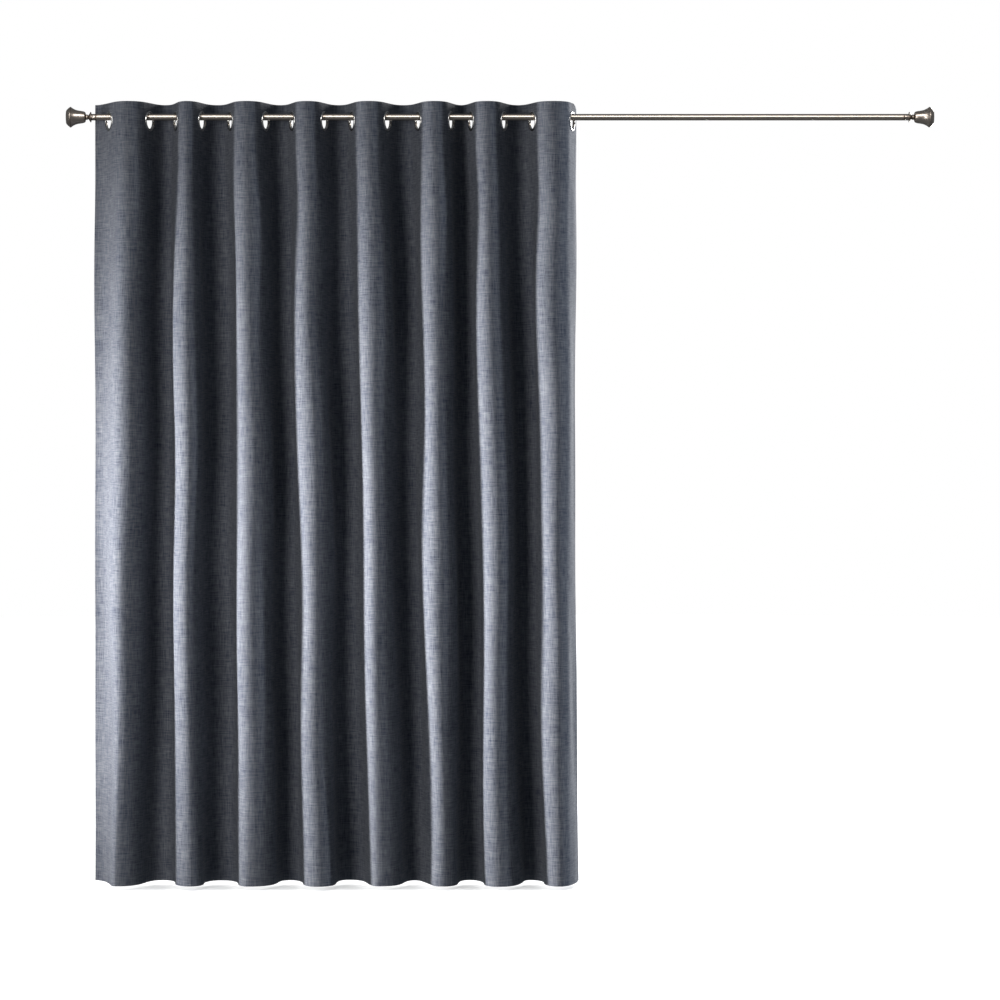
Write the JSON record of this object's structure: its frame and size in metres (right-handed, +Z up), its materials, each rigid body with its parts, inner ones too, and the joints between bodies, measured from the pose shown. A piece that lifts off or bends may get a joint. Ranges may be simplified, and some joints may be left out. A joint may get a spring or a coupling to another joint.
{
  "type": "grommet curtain on a rod",
  "caption": "Wide slate cloth curtain with metal grommets, hung in even folds on a pewter rod with flared finials; the folds slide open and closed.",
  "frame": {"origin": "on the rod's axis, half way between the two finial collars, where the brackets' line of support runs", "axes": "+X along the rod to the right as seen from the room, -Y towards the room, +Z up"},
  "size_m": [2.3712, 0.126, 2.134],
  "materials": {
    "slate_cloth": "matt slub weave, dark slate blue",
    "nickel_ring": "satin nickel",
    "pewter_metal": "satin pewter",
    "plain_steel": "plain steel"
  },
  "bodies": {
    "rod": {"rod_tube": "pewter_metal", "ferrule_left": "pewter_metal", "ferrule_right": "pewter_metal", "set_screw_left": "plain_steel", "set_screw_right": "plain_steel"},
    "finial_left": {"finial_bell_left": "pewter_metal", "finial_collar_left": "pewter_metal", "finial_stud_left": "plain_steel"},
    "finial_right": {"finial_bell_right": "pewter_metal", "finial_collar_right": "pewter_metal", "finial_stud_right": "plain_steel"},
    "panel_01": {"cloth_strip_01": "slate_cloth", "grommet_face_01": "nickel_ring", "grommet_washer_01": "nickel_ring"},
    "panel_02": {"cloth_strip_02": "slate_cloth", "grommet_face_02": "nickel_ring", "grommet_washer_02": "nickel_ring"},
    "panel_03": {"cloth_strip_03": "slate_cloth", "grommet_face_03": "nickel_ring", "grommet_washer_03": "nickel_ring"},
    "panel_04": {"cloth_strip_04": "slate_cloth", "grommet_face_04": "nickel_ring", "grommet_washer_04": "nickel_ring"},
    "panel_05": {"cloth_strip_05": "slate_cloth", "grommet_face_05": "nickel_ring", "grommet_washer_05": "nickel_ring"},
    "panel_06": {"cloth_strip_06": "slate_cloth", "grommet_face_06": "nickel_ring", "grommet_washer_06": "nickel_ring"},
    "panel_07": {"cloth_strip_07": "slate_cloth", "grommet_face_07": "nickel_ring", "grommet_washer_07": "nickel_ring"},
    "panel_08": {"cloth_strip_08": "slate_cloth", "grommet_face_08": "nickel_ring", "grommet_washer_08": "nickel_ring"},
    "panel_09": {"cloth_strip_09": "slate_cloth", "grommet_face_09": "nickel_ring", "grommet_washer_09": "nickel_ring"},
    "panel_10": {"cloth_strip_10": "slate_cloth", "grommet_face_10": "nickel_ring", "grommet_washer_10": "nickel_ring"},
    "panel_11": {"cloth_strip_11": "slate_cloth", "grommet_face_11": "nickel_ring", "grommet_washer_11": "nickel_ring"},
    "panel_12": {"cloth_strip_12": "slate_cloth", "grommet_face_12": "nickel_ring", "grommet_washer_12": "nickel_ring"},
    "panel_13": {"cloth_strip_13": "slate_cloth", "grommet_face_13": "nickel_ring", "grommet_washer_13": "nickel_ring"},
    "panel_14": {"cloth_strip_14": "slate_cloth", "grommet_face_14": "nickel_ring", "grommet_washer_14": "nickel_ring"},
    "panel_15": {"cloth_strip_15": "slate_cloth", "grommet_face_15": "nickel_ring", "grommet_washer_15": "nickel_ring"},
    "panel_16": {"cloth_strip_16": "slate_cloth", "grommet_face_16": "nickel_ring", "grommet_washer_16": "nickel_ring"}
  },
  "joints": [
    {"name": "finial_left_screw", "type": "hinge", "parent": "rod", "child": "finial_left", "pos_m": [-1.118, 0, 0], "axis": [1, 0, 0], "continuous": true},
    {"name": "finial_right_screw", "type": "hinge", "parent": "rod", "child": "finial_right", "pos_m": [1.118, 0, 0], "axis": [1, 0, 0], "continuous": true},
    {"name": "draw", "type": "hinge", "parent": "rod", "child": "panel_01", "pos_m": [-1.0688, 0, 0], "axis": [0, 0, 1], "range_deg": [-18, 17]},
    {"name": "fold_01", "type": "hinge", "parent": "panel_01", "child": "panel_02", "pos_m": [-1.0137, -0.062, 0], "axis": [0, 0, 1], "range_deg": [-34, 36]},
    {"name": "fold_02", "type": "hinge", "parent": "panel_02", "child": "panel_03", "pos_m": [-0.9221, 0.062, 0], "axis": [0, 0, 1], "range_deg": [-36, 34]},
    {"name": "fold_03", "type": "hinge", "parent": "panel_03", "child": "panel_04", "pos_m": [-0.85075, -0.062, 0], "axis": [0, 0, 1], "range_deg": [-34, 36]},
    {"name": "fold_04", "type": "hinge", "parent": "panel_04", "child": "panel_05", "pos_m": [-0.77625, 0.062, 0], "axis": [0, 0, 1], "range_deg": [-36, 34]},
    {"name": "fold_05", "type": "hinge", "parent": "panel_05", "child": "panel_06", "pos_m": [-0.68915, -0.062, 0], "axis": [0, 0, 1], "range_deg": [-34, 36]},
    {"name": "fold_06", "type": "hinge", "parent": "panel_06", "child": "panel_07", "pos_m": [-0.60465, 0.062, 0], "axis": [0, 0, 1], "range_deg": [-36, 34]},
    {"name": "fold_07", "type": "hinge", "parent": "panel_07", "child": "panel_08", "pos_m": [-0.5245, -0.062, 0], "axis": [0, 0, 1], "range_deg": [-34, 36]},
    {"name": "fold_08", "type": "hinge", "parent": "panel_08", "child": "panel_09", "pos_m": [-0.44285, 0.062, 0], "axis": [0, 0, 1], "range_deg": [-36, 34]},
    {"name": "fold_09", "type": "hinge", "parent": "panel_09", "child": "panel_10", "pos_m": [-0.35645, -0.062, 0], "axis": [0, 0, 1], "range_deg": [-34, 36]},
    {"name": "fold_10", "type": "hinge", "parent": "panel_10", "child": "panel_11", "pos_m": [-0.2658, 0.062, 0], "axis": [0, 0, 1], "range_deg": [-36, 34]},
    {"name": "fold_11", "type": "hinge", "parent": "panel_11", "child": "panel_12", "pos_m": [-0.17895, -0.062, 0], "axis": [0, 0, 1], "range_deg": [-34, 36]},
    {"name": "fold_12", "type": "hinge", "parent": "panel_12", "child": "panel_13", "pos_m": [-0.10645, 0.062, 0], "axis": [0, 0, 1], "range_deg": [-36, 34]},
    {"name": "fold_13", "type": "hinge", "parent": "panel_13", "child": "panel_14", "pos_m": [-0.03395, -0.062, 0], "axis": [0, 0, 1], "range_deg": [-34, 36]},
    {"name": "fold_14", "type": "hinge", "parent": "panel_14", "child": "panel_15", "pos_m": [0.04975, 0.062, 0], "axis": [0, 0, 1], "range_deg": [-36, 34]},
    {"name": "fold_15", "type": "hinge", "parent": "panel_15", "child": "panel_16", "pos_m": [0.14275, -0.062, 0], "axis": [0, 0, 1], "range_deg": [-34, 36]}
  ],
  "couplings": [
    {"joint": "fold_01", "follows": "draw", "ratio": -2},
    {"joint": "fold_02", "follows": "draw", "ratio": 2},
    {"joint": "fold_03", "follows": "draw", "ratio": -2},
    {"joint": "fold_04", "follows": "draw", "ratio": 2},
    {"joint": "fold_05", "follows": "draw", "ratio": -2},
    {"joint": "fold_06", "follows": "draw", "ratio": 2},
    {"joint": "fold_07", "follows": "draw", "ratio": -2},
    {"joint": "fold_08", "follows": "draw", "ratio": 2},
    {"joint": "fold_09", "follows": "draw", "ratio": -2},
    {"joint": "fold_10", "follows": "draw", "ratio": 2},
    {"joint": "fold_11", "follows": "draw", "ratio": -2},
    {"joint": "fold_12", "follows": "draw", "ratio": 2},
    {"joint": "fold_13", "follows": "draw", "ratio": -2},
    {"joint": "fold_14", "follows": "draw", "ratio": 2},
    {"joint": "fold_15", "follows": "draw", "ratio": -2}
  ]
}
